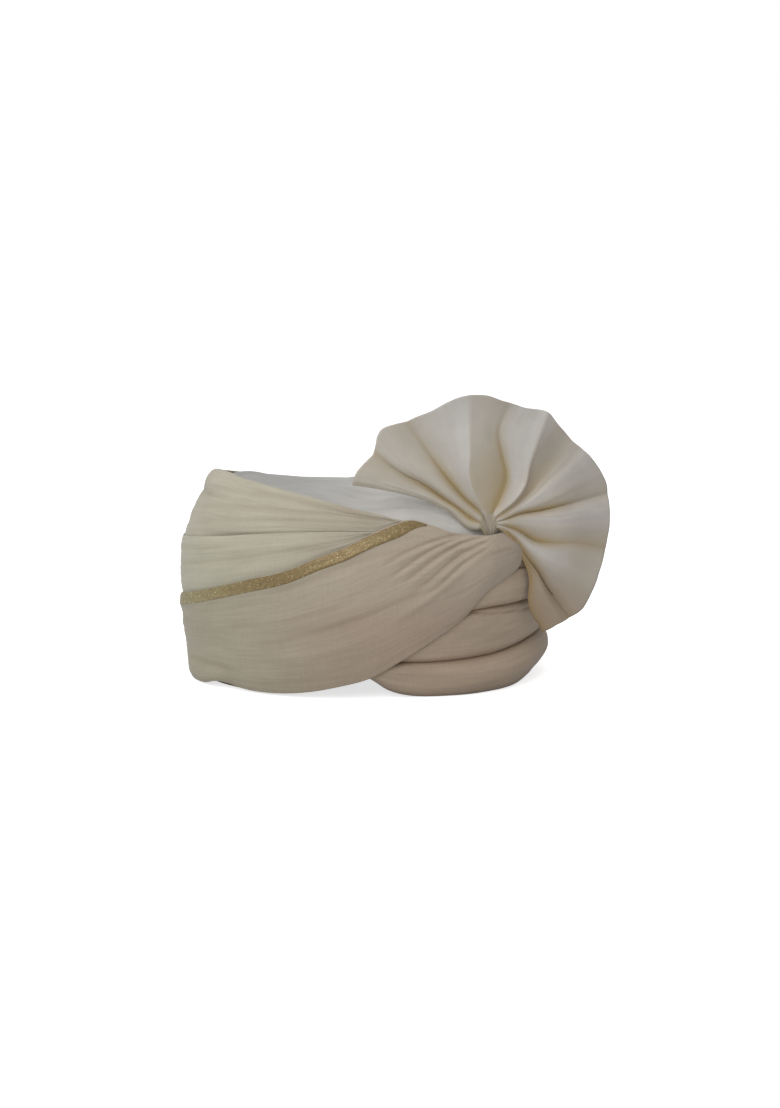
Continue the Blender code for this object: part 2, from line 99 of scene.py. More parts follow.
# Folds of the drawn cloths and the rolls. Each row is the fold's line as angle and height in mm, then in mm
# how far it rises (a groove is negative), its half width and how softly its ends fade
FRONT_FOLDS = [
    ([(43, 120), (30, 116.5), (21.4, 113), (10.6, 104.1), (3, 94)], -0.8, 1.15, 18),
    ([(43, 119), (32, 114.8), (22, 110.4), (12, 101.8), (5, 92)], 0.7, 1.4, 18),
    ([(43, 118.6), (30, 114), (20.1, 106.8), (12, 96), (5, 85)], -0.85, 1.15, 18),
    ([(43, 118), (30, 112.2), (21, 104.6), (13, 93.5), (6, 83)], 0.7, 1.4, 18),
    ([(43, 117.5), (30, 109.8), (22.6, 102.4), (15.4, 91.8), (9, 81)], -0.85, 1.15, 17),
    ([(43, 117), (30.5, 107.4), (23.6, 99.6), (17, 89), (10, 77)], 0.7, 1.5, 18),
    ([(42.5, 116), (31, 103.8), (25.4, 96.4), (20.6, 88.2), (13, 76)], -0.85, 1.15, 17),
    ([(42, 115), (32.6, 101.8), (27.4, 94.4), (22.4, 85.8), (15, 74)], 0.5, 1.2, 18),
    ([(42, 114), (33.6, 100.4), (28.6, 92.8), (23.4, 83.4), (16, 72)], -0.6, 1.1, 17),
    ([(42, 113), (35.4, 99.6), (29.1, 88.8), (23.8, 80.4), (16.7, 69.2), (4, 53)], 0.9, 2.4, 22),
    ([(17, 111), (6.4, 104.9), (-6.8, 94.6), (-18.7, 83.2), (-32, 72)], -0.4, 2, 20),
    ([(24, 84), (10.7, 72), (-6.8, 55.7), (-22.2, 43.3), (-40, 34)], -0.45, 2.4, 26),
    ([(14, 60), (2, 47), (-14, 33), (-34, 22)], 0.4, 2.6, 26),
    ([(2, 76), (-12, 64), (-30, 53), (-52, 46)], -0.35, 1.6, 26),
    ([(48, 92), (43.2, 75.1), (37.3, 66.5), (30, 54)], 0.4, 1.4, 17),
    ([(-60, 46), (-85, 42), (-120, 40)], -0.5, 3, 30),
    ([(-40, 14), (-58, 17), (-80, 15)], -0.5, 2.6, 20),
    ([(-130, 38), (-150, 44), (-172, 58), (-192, 76)], -0.8, 2.6, 24),
    ([(-140, 26), (-160, 36), (-178, 56), (-196, 74)], 0.7, 3, 24),
]
BROW_FOLDS = [
    ([(-10, 112), (-35, 100), (-60, 90), (-90, 82)], -0.35, 2.6, 26),
    ([(-40, 108), (-62, 100), (-95, 95), (-130, 94)], -0.4, 2.2, 26),
    ([(-120, 78), (-150, 86), (-175, 96), (-196, 106)], -0.6, 2.4, 24),
]
CREST_FOLDS = [
    ([(12, 125.5), (-2, 130), (-20, 132), (-45, 132), (-75, 129)], -0.5, 1.8, 26),
    ([(10, 124), (-6, 126.5), (-26, 126.5), (-50, 122), (-78, 116)], -0.45, 1.8, 26),
    ([(4, 131), (-12, 136), (-28, 141), (-50, 143)], -0.5, 2, 22),
    ([(-60, 138), (-90, 136), (-130, 132)], -0.5, 2.4, 26),
    ([(-110, 122), (-150, 119), (-190, 119)], -0.6, 2.2, 26),
]
RIM_ROLL_FOLDS = [
    ([(30, 10), (48, 14), (66, 17)], -0.5, 2.2, 14),
    ([(84, 22), (104, 17), (124, 16), (146, 20)], -0.9, 1.8, 22),
    ([(128, 12), (150, 9), (172, 12)], -0.7, 1.8, 18),
]
LOW_ROLL_FOLDS = [
    ([(34.5, 60.8), (41, 57.6), (50, 56.4), (62, 56), (72, 57)], -2, 0.8, 6),
    ([(60, 53.5), (50, 48.5), (42, 42)], 0.5, 1.3, 9),
    ([(78, 50), (98, 46), (120, 47), (140, 52)], -0.9, 1.6, 22),
    ([(112, 41), (134, 39), (158, 43), (175, 44)], -0.8, 1.6, 20),
]
MIDDLE_ROLL_FOLDS = [
    ([(49, 90.6), (54, 88.6), (60, 88.2)], -1.4, 0.8, 4),
    ([(36, 66), (46, 70), (58, 71)], -0.35, 1.6, 10),
    ([(72, 82), (92, 77), (116, 76), (138, 80)], -0.9, 1.7, 22),
    ([(100, 70), (126, 69), (150, 73), (170, 72)], -0.8, 1.6, 20),
]
UPPER_ROLL_FOLDS = [
    ([(66, 112), (86, 108), (108, 109), (130, 114)], -0.9, 1.6, 22),
    ([(94, 100), (120, 98), (146, 102), (168, 104)], -0.9, 1.7, 22),
]

# The fan's folds from the crown side round to the nape side. Each row is its bearing in degrees and its
# forward rise in mm, both at six distances from the knot as shares of FAN_RADIUS, and whether it is sharp
FAN_DISTANCES = [0.09, 0.24, 0.42, 0.6, 0.78, 1.06]
FAN_FOLDS = [
    ([212, 170, 159.3, 158.8, 160.4, 162.8], [-1] * 6, True),
    ([190, 163, 155.5, 155.6, 157.2, 158.5], [1.2, 1.6, 1.8, 1.8, 1.6, 1.2], False),
    ([164, 153, 149.5, 148, 149, 147], [-0.8, -0.9, -1.2, -1.6, -1.6, -0.6], True),
    ([148, 145, 143.5, 143.5, 143.8, 142], [1.4, 1.6, 2.2, 2.6, 2.8, 2.6], False),
    ([122, 131, 131.2, 130.2, 129, 127.8], [-1.6, -2.8, -3.4, -3, -2.2, -1], True),
    ([106, 114, 112, 105, 101.5, 98], [1.4, 2.2, 3, 3.6, 3.8, 3], True),
    ([62, 62, 65, 76, 82, 79], [-0.8, -1.6, -2.4, -2.8, -2.4, -1.2], True),
    ([44, 39, 42.5, 52.5, 56.8, 59.6], [1.2, 2.2, 3.6, 4.6, 5, 4], True),
    ([30, 31, 32.5, 36, 38.5, 41], [0.2, -0.2, -0.6, -0.6, -0.8, -0.4], False),
    ([18, 22, 23.5, 26, 28, 31], [0.9, 1.3, 1.8, 2, 2, 1.8], False),
    ([9, 13, 10.5, 10, 10.2, 10.6], [-0.8, -1.4, -2.6, -3.2, -3.2, -2.6], True),
    ([1, 3, 1.5, 0.5, 1, 2], [1, 1.8, 2.6, 3, 2.8, 2.2], False),
    ([-10, -15, -21.5, -19, -15, -14], [-0.4, -1, -2.2, -0.6, 0.2, 0.4], True),
    ([-16, -22, -29.5, -31, -29, -28], [0.6, 1, 1.8, 2.8, 3, 2.4], False),
    ([-20, -31, -40.5, -43.6, -46.6, -48], [-0.6, -1.6, -4.8, -7.8, -9.6, -9.2], True),
    ([-22, -33.5, -41.8, -45.4, -50.2, -52.4], [0.2, -0.8, -3.4, -5.8, -7.2, -7.4], False),
    ([-25, -35, -43.6, -51, -60.4, -61.4], [-0.8, -2, -5, -9, -13, -14], True),
]
FAN_RIM = [(-65, 1.02), (-59, 1.036), (-54.5, 1.036), (-43.4, 1.085), (-41.5, 1.085), (-34.4, 1.05),
           (-24.6, 1.026), (-9, 1.022), (4.9, 1.029), (15.1, 1.048), (28.3, 1), (41.3, 0.945), (52.7, 0.958),
           (59.8, 0.994), (61.5, 0.99), (70.8, 0.945), (83.2, 0.962), (90.3, 1.001), (99.3, 1.018),
           (105.1, 1.012), (116.7, 0.986), (128.4, 1.03), (137.6, 1.132), (140.5, 1.128), (148, 1.062),
           (158, 1.126), (163, 1.121)]

# Ripples on the fan: scale and shift across the folds, scale and shift outwards, seed, size in mm
FAN_RIPPLES = [(2.2, 3, 22, 5, 61, 0.45), (0.9, 9, 40, 9, 62, 0.40), (3.1, 17, 95, 30, 63, 0.14),
               (5.3, 11, 16, 3, 64, 0.24), (8.0, 21, 34, 13, 65, 0.08)]

# Camera, worked out from the rim's and the crown's ovals
CAMERA_ELEVATION = 10.0
CAMERA_DISTANCE = 1.6
CAMERA_LENS_MM, CAMERA_SENSOR_MM = 69.86, 36.0
CAMERA_TARGET = (0.0186, 0.0, 0.087)    # from the body's centre at the surface

FLOOR_HALF, FLOOR_DROP = 6.0, 0.0004
# Place, power in watts, size and colour of the soft lights
LIGHTS = {"key_light": ((-0.85, -1.85, 1.60), 36.0, 1.8, (1.0, 0.985, 0.965)),
          "top_light": ((-0.1, 0.1, 2.4), 20.0, 2.0, (1.0, 1.0, 1.0))}

low_corner, high_corner = (np.array(c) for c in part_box("upper_roll"))
CENTRE = np.array([(low_corner[0] + high_corner[0]) / 2, (low_corner[1] + high_corner[1]) / 2, 0.0])


def curve(rows, x):
    """Cubic through the rows' points whose slopes are those of the neighbouring points."""
    xs = np.array([row[0] for row in rows], float)
    ys = np.array([row[1] for row in rows], float)
    slopes = np.gradient(ys, xs)
    i = np.clip(np.searchsorted(xs, x) - 1, 0, len(xs) - 2)
    step = xs[i + 1] - xs[i]
    s = np.clip((x - xs[i]) / step, 0, 1)
    return (ys[i] * (1 + 2 * s) * (1 - s) ** 2 + ys[i + 1] * s * s * (3 - 2 * s)
            + step * (slopes[i] * s * (1 - s) ** 2 - slopes[i + 1] * s * s * (1 - s)))


def ring_curve(rows, angle):
    """The same curve round a whole turn."""
    turns = [(a + turn, v) for turn in (-360, 0, 360) for a, v in rows]
    return curve(turns, (np.asarray(angle, float) + 180.0) % 360.0 - 180.0)


def ease(x, start, end):
    """0 before start, 1 after end, a cubic between."""
    s = np.clip((x - start) / (end - start), 0, 1)
    return s * s * (3 - 2 * s)


def tuck(height):
    """How far the wall draws in: a parabola below the widest place, a steeper power above it."""
    below = np.clip((WIDEST_HEIGHT - height) / WIDEST_HEIGHT, 0, None)
    above = np.clip((height - WIDEST_HEIGHT) / (CREST_HEIGHT - WIDEST_HEIGHT), 0, None)
    return FOOT_TUCK * below ** 2 + TOP_TUCK * above ** TOP_TUCK_CURVE


def on_grid(*values):
    """Values spread over their common grid and stacked as its last axis."""
    return np.stack(np.broadcast_arrays(*values), axis=-1)


def wall(angle, height, out):
    """Points on the oval wall: both half axes are the body's less the tuck plus out."""
    inset = out - tuck(height)
    turn = np.radians(angle)
    x, y = (BODY_LENGTH / 2 + inset) * np.sin(turn), -(BODY_WIDTH / 2 + inset) * np.cos(turn)
    return CENTRE + on_grid(x, y, height)


TURNS = np.radians(np.linspace(-400, 400, 8001))
STEPS = np.hypot(BODY_LENGTH / 2 * np.cos(TURNS), BODY_WIDTH / 2 * np.sin(TURNS)) * (TURNS[1] - TURNS[0])
RUN = np.cumsum(STEPS) - np.cumsum(STEPS)[4000]


def run(angle):
    """Length along the oval from angle 0, the sum of its small steps."""
    return np.interp(np.radians(angle), TURNS, RUN)


def noise(x, y, seed, period=256):
    """Smooth noise from -1 to 1: seeded lattice values joined by cubic steps. X repeats after period."""
    lattice = np.random.default_rng(seed).uniform(-1, 1, (256, 256))
    xf, yf = np.floor(x), np.floor(y)
    u, v = x - xf, y - yf
    u, v = u * u * (3 - 2 * u), v * v * (3 - 2 * v)
    x0, x1 = xf.astype(int) % period % 256, (xf.astype(int) + 1) % period % 256
    y0, y1 = yf.astype(int) % 256, (yf.astype(int) + 1) % 256
    near = lattice[x0, y0] * (1 - u) + lattice[x1, y0] * u
    far = lattice[x0, y1] * (1 - u) + lattice[x1, y1] * u
    return near * (1 - v) + far * v


def fold_relief(rows, angle, height):
    """Sum of bell-shaped ridges and grooves, each by its distance from its line, faded at the line's ends."""
    along, up = run(angle) * 1000, height * 1000
    relief = np.zeros(np.broadcast(along, up).shape)
    for places, rise, width, fade in rows:
        line = sorted((float(run(a)) * 1000, h) for a, h in places)
        first, last = line[0][0], line[-1][0]
        centre = curve(line, along)
        slope = (curve(line, along + 1.0) - curve(line, along - 1.0)) / 2
        off = (up - centre) / np.sqrt(1 + slope ** 2)
        inside = ease(along, first, first + fade) * (1 - ease(along, last - fade, last))
        relief += rise * np.exp(-(off / width) ** 2) * inside
    return relief * 0.001


def add_grid(name, points, uv, painted_light, shade=None, wrap_rows=False, wrap_columns=False, cap=False):
    """A mesh from a grid of points, closed over either direction if asked, with its own UV map in metres.

    A cap closes the last row with triangles to its mean point. The shade mask, from 0 to 1, is painted shade
    for the material, mostly in creases and hollows, and the grid of colour factors is painted light and
    shade.
    """
    rows, columns = points.shape[:2]
    i = np.arange(rows if wrap_rows else rows - 1)[:, None]
    j = np.arange(columns if wrap_columns else columns - 1)[None, :]
    corners = [(i + di, j + dj) for di, dj in ((0, 0), (0, 1), (1, 1), (1, 0))]
    faces = np.stack([(a % rows) * columns + b % columns for a, b in corners], axis=-1).reshape(-1, 4)
    spots = np.stack([uv[a % uv.shape[0], b % uv.shape[1]] for a, b in corners], axis=-2).reshape(-1, 2)
    loops, starts = faces.reshape(-1), np.arange(0, faces.size, 4)
    flat = points.reshape(-1, 3)
    if cap:
        last = (rows - 1) * columns
        k = np.arange(columns)
        tip = on_grid(last + k, last + (k + 1) % columns, rows * columns).reshape(-1)
        middle = uv[-1, :columns].mean(axis=0)
        tip_uv = np.stack([uv[-1, k], uv[-1, (k + 1) % columns], np.tile(middle, (columns, 1))], axis=1)
        starts = np.concatenate([starts, loops.size + np.arange(0, 3 * columns, 3)])
        loops = np.concatenate([loops, tip])
        spots = np.concatenate([spots, tip_uv.reshape(-1, 2)])
        flat = np.concatenate([flat, points[-1].mean(axis=0, keepdims=True)])
    mesh = bpy.data.meshes.new(name)
    mesh.vertices.add(len(flat))
    mesh.vertices.foreach_set("co", flat.reshape(-1).astype(np.float32))
    mesh.loops.add(loops.size)
    mesh.loops.foreach_set("vertex_index", loops.astype(np.int32))
    mesh.polygons.add(len(starts))
    mesh.polygons.foreach_set("loop_start", starts.astype(np.int32))
    mesh.update(calc_edges=True)
    layer = mesh.uv_layers.new(name="cloth")
    layer.data.foreach_set("uv", spots.reshape(-1).astype(np.float32))
    if shade is not None:
        values = np.zeros(len(flat), dtype=np.float32)
        values[:rows * columns] = np.clip(np.broadcast_to(shade, (rows, columns)), 0, 1).reshape(-1)
        mesh.attributes.new("shade", "FLOAT", "POINT").data.foreach_set("value", values)
    factors = np.ones((len(flat), 3), dtype=np.float32)
    factors[:rows * columns] = painted_light.reshape(-1, 3)
    factors[rows * columns:] = painted_light[-1].mean(axis=0)
    mesh.attributes.new("painted_light", "FLOAT_VECTOR", "POINT").data.foreach_set("vector", factors.reshape(-1))
    mesh.polygons.foreach_set("use_smooth", np.ones(len(starts), dtype=bool))
    mesh.validate()
    piece = bpy.data.objects.new(name, mesh)
    bpy.context.scene.collection.objects.link(piece)
    return piece


def painted_light_along(key, points):
    """Painted light and shade: colour factors that change smoothly along the body from the forehead end's to
    the knot's.
    """
    forehead, knot, start, stop = PAINTED_LIGHT_ENDS[key]
    reach = ease(points[..., :1] - CENTRE[0], start, stop)
    return np.array(forehead) * (1 - reach) + np.array(knot) * reach


def painted_light_under_knot(angle, height):
    """Painted light and shade on the front cloth beside the knot: colour factors lighter above and darker
    below.
    """
    beside = ease(angle, -34, -2)[..., None]
    upper = ease(height, 0.052, 0.084)[..., None]
    return 1 + beside * (np.array([0.03, 0.04, 0.06]) * upper - np.array([0.08, 0.13, 0.13]) * (1 - upper))


def thicken(piece, thickness, offset=-1.0):
    """Gives a sheet its thickness, to its inner side unless offset says otherwise."""
    solid = piece.modifiers.new("thickness", "SOLIDIFY")
    solid.thickness = thickness
    solid.offset = offset
    solid.use_rim = True


def finish_piece(piece, material, slot, *nodes):
    """Gives the piece its material, names its body and hides the nodes it stands for. The slot is not used.
    """
    piece.data.materials.append(material)
    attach(piece, "root")
    if nodes:
        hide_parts(*nodes)
    return piece


# Materials

def set_values(node, **values):
    """Sets the node's own sockets. An underscore in a name stands for a space."""
    for name, value in values.items():
        node.inputs[name.replace("_", " ")].default_value = value


def fill(tree, node, key, value):
    """Links the socket if the value is another node's output, and sets it otherwise."""
    if isinstance(value, bpy.types.NodeSocket):
        tree.links.new(value, node.inputs[key])
    else:
        node.inputs[key].default_value = value


def math_node(tree, operation, *values):
    """The values put through one operation."""
    node = tree.nodes.new("ShaderNodeMath")
    node.operation = operation
    for k, value in enumerate(values):
        fill(tree, node, k, value)
    return node.outputs[0]


def mixed(tree, factor, first, second, blend="MIX"):
    """Two colours mixed by the factor."""
    node = tree.nodes.new("ShaderNodeMix")
    node.data_type = "RGBA"
    node.blend_type = blend
    for k, value in ((0, factor), (6, first), (7, second)):
        fill(tree, node, k, value)
    return node.outputs[2]


def stretched(tree, place, scale):
    """The place times a scale along each axis."""
    node = tree.nodes.new("ShaderNodeVectorMath")
    node.operation = "MULTIPLY"
    fill(tree, node, 0, place)
    fill(tree, node, 1, scale)
    return node.outputs[0]


def mask(tree, name):
    """The piece's own attribute of that name."""
    node = tree.nodes.new("ShaderNodeAttribute")
    node.attribute_name = name
    return node


def with_painted_light(tree, colour):
    """The colour times the piece's own factors of painted light and shade."""
    return mixed(tree, 1.0, colour, mask(tree, "painted_light").outputs["Color"], "MULTIPLY")


def cloth_place(tree):
    """The place on the piece's own UV map, in metres."""
    node = tree.nodes.new("ShaderNodeUVMap")
    node.uv_map = "cloth"
    return node.outputs["UV"]


def raise_surface(tree, shader, height, strength, distance):
    """Bumps the shader's surface by the height."""
    bump = tree.nodes.new("ShaderNodeBump")
    set_values(bump, Strength=strength, Distance=distance)
    fill(tree, bump, "Height", height)
    fill(tree, shader, "Normal", bump.outputs["Normal"])


def new_material(name):
    """A material with its node tree and its shader."""
    material = bpy.data.materials.new(name)
    material.use_nodes = True
    return material, material.node_tree, material.node_tree.nodes["Principled BSDF"]


def weave_group():
    """Cloth weave on metric UVs: crossed sines are threads, long thin noise slubs, broad noise the tone."""
    group = bpy.data.node_groups.new("cloth_weave", "ShaderNodeTree")
    face = group.interface
    face.new_socket("Place", in_out="INPUT", socket_type="NodeSocketVector")
    for name, value in (("Threads per Metre", 2200.0), ("Slub", 0.5), ("Cloud", 0.5)):
        face.new_socket(name, in_out="INPUT", socket_type="NodeSocketFloat").default_value = value
    face.new_socket("Height", in_out="OUTPUT", socket_type="NodeSocketFloat")
    face.new_socket("Tone", in_out="OUTPUT", socket_type="NodeSocketFloat")
    entry, leave = group.nodes.new("NodeGroupInput"), group.nodes.new("NodeGroupOutput")
    place, slub = entry.outputs["Place"], entry.outputs["Slub"]

    def combine(operation, a, b):
        return math_node(group, operation, a, b)

    def stretched_noise(scale, detail):
        made = group.nodes.new("ShaderNodeTexNoise")
        set_values(made, Scale=1.0, Detail=detail)
        fill(group, made, "Vector", stretched(group, place, scale))
        return made.outputs["Fac"]

    apart = group.nodes.new("ShaderNodeSeparateXYZ")
    fill(group, apart, 0, place)
    turns = combine("MULTIPLY", entry.outputs["Threads per Metre"], math.pi)
    warp, weft = (math_node(group, "SINE", combine("MULTIPLY", apart.outputs[axis], turns)) for axis in "XY")
    long_slubs = stretched_noise((30.0, 640.0, 1.0), 3.0)
    cross_slubs = stretched_noise((520.0, 60.0, 1.0), 2.0)
    grain = stretched_noise((1100.0, 1100.0, 1.0), 1.0)
    cloud = stretched_noise((24.0, 58.0, 1.0), 4.0)
    slubs = combine("ADD", combine("MULTIPLY", long_slubs, 0.45), combine("MULTIPLY", cross_slubs, 0.2))
    slubs = combine("ADD", slubs, combine("MULTIPLY", grain, 0.35))
    threads = combine("MULTIPLY", combine("MULTIPLY", warp, weft), 0.22)
    fill(group, leave, "Height", combine("ADD", threads, combine("MULTIPLY", slubs, slub)))
    streak = combine("MULTIPLY", combine("SUBTRACT", slubs, 0.5), combine("MULTIPLY", slub, 2.6))
    # Broad drift of the tone: random tone, and on the satin, where Cloud is large, painted mottled sheen too.
    drift = combine("MULTIPLY", combine("SUBTRACT", cloud, 0.5),
                    combine("MULTIPLY", entry.outputs["Cloud"], 2.0))
    fill(group, leave, "Tone", combine("ADD", combine("ADD", streak, drift), 0.5))
    return group


WEAVE = weave_group()


def cloth_material(name, light, deep, shaded, roughness, sheen, slub, cloud, relief):
    """Woven cloth: the weave's tone lies between two creams, and the piece's shade mask mixes in a warm
    painted shade.
    """
    material, tree, shader = new_material(name)
    weave = tree.nodes.new("ShaderNodeGroup")
    weave.node_tree = WEAVE
    fill(tree, weave, "Place", cloth_place(tree))
    set_values(weave, Slub=slub, Cloud=cloud)
    woven = mixed(tree, weave.outputs["Tone"], (*deep, 1.0), (*light, 1.0))
    # Painted shade: the shade mask darkens and warms the cloth towards the shaded colour.
    with_painted_shade = mixed(tree, mask(tree, "shade").outputs["Fac"], woven, (*shaded, 1.0))
    fill(tree, shader, "Base Color", with_painted_light(tree, with_painted_shade))
    raise_surface(tree, shader, weave.outputs["Height"], relief, 0.0003)
    set_values(shader, Roughness=roughness, Sheen_Weight=sheen, Sheen_Roughness=0.4, Specular_IOR_Level=0.35)
    return material


def gold_material():
    """Gold woven border: crossed threads whose small cells glint at their own tilt; their tone is the
    threads' own, with painted glints in the few brightest cells.
    """
    material, tree, shader = new_material("gold_border_threads")
    cells = tree.nodes.new("ShaderNodeTexVoronoi")
    cells.voronoi_dimensions = "2D"
    set_values(cells, Scale=1.0)
    fill(tree, cells, "Vector", stretched(tree, cloth_place(tree), (1700.0, 1700.0, 1.0)))
    apart = tree.nodes.new("ShaderNodeSeparateColor")
    fill(tree, apart, 0, cells.outputs["Color"])
    ramp = tree.nodes.new("ShaderNodeValToRGB")
    # The cells' tone: most are the threads' own olive gold, and the few brightest are painted glints.
    ramp.color_ramp.elements[0].color = (0.165, 0.120, 0.055, 1)
    ramp.color_ramp.elements[1].color = (0.62, 0.54, 0.34, 1)
    ramp.color_ramp.elements.new(0.965).color = (0.285, 0.220, 0.110, 1)
    fill(tree, ramp, 0, apart.outputs[0])
    fill(tree, shader, "Base Color", with_painted_light(tree, ramp.outputs["Color"]))
    rough = tree.nodes.new("ShaderNodeMapRange")
    set_values(rough, To_Min=0.30, To_Max=0.62)
    fill(tree, rough, "Value", apart.outputs[1])
    fill(tree, shader, "Roughness", rough.outputs["Result"])
    raise_surface(tree, shader, apart.outputs[2], 0.6, 0.0004)
    set_values(shader, Metallic=0.3)
    return material


# The third colour of each cloth is its painted shade, a warm dark mixed in by the piece's shade mask.
CREAM = cloth_material("cream_silk_cotton", (0.410, 0.381, 0.304), (0.322, 0.295, 0.232),
                       (0.215, 0.155, 0.085), roughness=0.72, sheen=0.22, slub=0.9, cloud=0.5, relief=0.75)
# On the satin the strong cloud noise paints mottled sheen over the random tone.
SATIN = cloth_material("ivory_satin", (0.500, 0.482, 0.446), (0.420, 0.400, 0.366),
                       (0.352, 0.266, 0.132), roughness=0.40, sheen=0.10, slub=0.45, cloud=1.6, relief=0.35)
GOLD = gold_material()
# Painted light and shade: colour factors at the forehead end and at the knot, and where along the body they
# start and stop changing. Brow and crest are painted lighter and the crown darker towards the forehead, the
# rolls and the front cloth warmer and the rim darker towards the knot; the border's lighter forehead end is
# partly its own paler weave and partly painted sheen.
PAINTED_LIGHT_ENDS = {
    "rim": ((1.0, 1.0, 1.0), (0.965, 0.815, 0.765), -0.13, 0.05),
    "rolls": ((1.0, 1.0, 1.0), (1.040, 0.890, 0.840), -0.13, 0.05),
    "front": ((0.930, 0.920, 0.870), (1.000, 0.893, 0.868), -0.13, 0.05),
    "brow": ((1.15, 1.19, 1.17), (0.955, 0.895, 0.885), -0.13, 0.05),
    "crest": ((1.12, 1.125, 1.12), (1.010, 0.970, 0.970), -0.13, 0.05),
    "border": ((1.40, 1.56, 1.64), (0.940, 0.890, 0.770), -0.135, -0.055),
    "crown": ((0.67, 0.675, 0.700), (1.06, 1.06, 1.08), -0.10, 0.06),
}
# The fan's painted light and shade: colour factors by bearing, darker at the lower right wing and warmer at
# the crown side.
FAN_PAINTED_LIGHT = [(-60, 0.83, 0.77, 0.80), (-46, 0.83, 0.77, 0.76), (-30, 0.95, 0.93, 0.93), (30, 1.0, 0.98, 0.98),
             (50, 0.93, 0.90, 0.88), (58, 0.96, 0.96, 0.97), (110, 0.97, 0.96, 0.97), (163, 0.95, 0.91, 0.83)]


# The wound rolls

def bare_rim(angle):
    """1 where no drawn cloth covers the rim roll, and 0 where one does."""
    angle = (angle + 180.0) % 360.0 - 180.0
    return np.where(angle > -100, ease(angle, 14, 38), 1 - ease(angle, -178, -160))


def swell(angle, height):
    """The middle and upper rolls' lift beside the knot, where they carry on the front cloth's lip."""
    past = 1 - ease(angle, 74, 92)
    beside_end = 0.0048 * ease(angle, 49, 56) * ease(height, 0.078, 0.096) * (1 - ease(height, 0.104, 0.118))
    return (0.0060 * ease(angle, 36, 52) * np.sin(math.pi * ease(height, 0.052, 0.104)) + beside_end) * past


def nape_foot(angle, height):
    """The rim roll draws in at its foot towards the nape end."""
    return -0.0066 * ease(angle, 48, 76) * (1 - ease(angle, 108, 146)) * (1 - ease(height, 0.002, 0.031))


def wound_roll(name, low, high, bulge, folds, seed, extra=None):
    """A closed ring: its section runs up the outer side, over the top, down the head opening and back under.

    The outer side is a bulging arc between two creases, with long soft noise along the winding.
    """
    stations, outer = 480, 30
    angle = np.linspace(-180, 180, stations, endpoint=False)[None, :]
    bottom, top = low(angle), high(angle)
    share = (0.5 - 0.5 * np.cos(np.linspace(0, math.pi, outer)))[:, None]
    height = bottom + share * (top - bottom)
    near = ease(angle, 5, 25) * (1 - ease(angle, 80, 105))
    crease = ROLL_CREASE * (1 - 0.4 * near) * np.abs(2 * share - 1) ** (4 + 5 * near)
    beside = ease(angle, 26, 40) * (1 - ease(angle, 66, 84))
    crease = crease * (1 - 0.8 * beside * (1 - ease(np.abs(height - 0.091), 0.006, 0.014)))
    if bulge:
        crease = np.where(share < 0.5, crease * (1 - 0.7 * bare_rim(angle)), crease)
        crease = crease - 0.0045 * bare_rim(angle) * (1 - share) ** 3
    out = bulge * bare_rim(angle) * np.sin(math.pi * share) - crease
    if extra:
        out = out + extra(angle, height)
    turns = angle / 360
    streak = (noise(turns * 14 + 14, share * 7 + 3, seed, 14) * 0.40
              + noise(turns * 40 + 40, share * 16, seed + 1, 40) * 0.22)
    soft = noise(turns * 9 + 9, share * 1.5 + 5, seed + 2, 9) * 0.6
    body = np.sin(math.pi * share) ** 0.6
    out = out + (streak + soft - 0.35) * 0.001 * body + fold_relief(folds, angle, height)
    outside = wall(angle, height, out)
    turn = np.radians(angle)
    inside_share = np.linspace(1, 0, 12)[:, None]
    inside_height = bottom + inside_share * (top - bottom)
    puff = 0.0012 * (1 - np.sin(math.pi * inside_share) ** 0.7)
    x, y = (HEAD_LENGTH / 2 + puff) * np.sin(turn), -(HEAD_WIDTH / 2 + puff) * np.cos(turn)
    head = on_grid(x, y, inside_height) + CENTRE
    across = np.linspace(0, 1, 7)[1:-1, None, None]
    over = outside[-1:] * (1 - across) + head[:1] * across
    under = head[-1:] * (1 - across) + outside[:1] * across
    points = np.concatenate([outside, over, head, under])
    around = np.concatenate([run(angle[0]), [run(180.0)]])
    steps = np.linalg.norm(np.diff(np.concatenate([points, points[:1]]), axis=0), axis=-1).mean(axis=1)
    down = np.concatenate([[0], np.cumsum(steps)])
    uv = on_grid(around[None, :], down[:, None] + seed * 0.11)
    # Painted shade: the roll is darker and warmer towards the creases at the foot and top of its outer side.
    crease_shade = np.zeros(points.shape[:2])
    crease_shade[:outer] = 0.75 * np.abs(2 * share - 1) ** 8
    painted_light = painted_light_along("rim" if bulge else "rolls", points)
    piece = add_grid(name, points, uv, painted_light, crease_shade, wrap_rows=True, wrap_columns=True)
    return finish_piece(piece, CREAM, "cream_cloth", name.replace("wound_", ""))


def make_rolls():
    """Four rolls from the rim up. Their joins are the solids' own, but for a few mm beside the knot."""
    half = GAP / 2

    def join(key, shift):
        return lambda angle: ROLLS_HEIGHT * ring_curve(ROLL_JOINS[key], angle) + shift

    def rim_low(angle):
        return ROLLS_HEIGHT * np.maximum(0.0, ring_curve(RIM_LOW, angle))

    rolls = [wound_roll("wound_rim_roll", rim_low, join("rim", -half), RIM_BULGE, RIM_ROLL_FOLDS, 11,
                        nape_foot),
             wound_roll("wound_low_roll", join("rim", half), join("low", -half), 0.0, LOW_ROLL_FOLDS, 12),
             wound_roll("wound_middle_roll", join("low", half), join("mid", -half), 0.0, MIDDLE_ROLL_FOLDS,
                        13, swell),
             wound_roll("wound_upper_roll", join("mid", half), even(ROLLS_HEIGHT), 0.0, UPPER_ROLL_FOLDS, 14,
                        lambda a, h: swell(a, h) - 0.0030 * over_forehead(a))]
    return rolls


# The drawn cloths. Their edges follow the tables' curves, and each tucks OVERLAP deep under its neighbour

def front_low(angle):
    """The front cloth's lower edge, from its table."""
    return ROLLS_HEIGHT * curve(FRONT_LOW, angle)


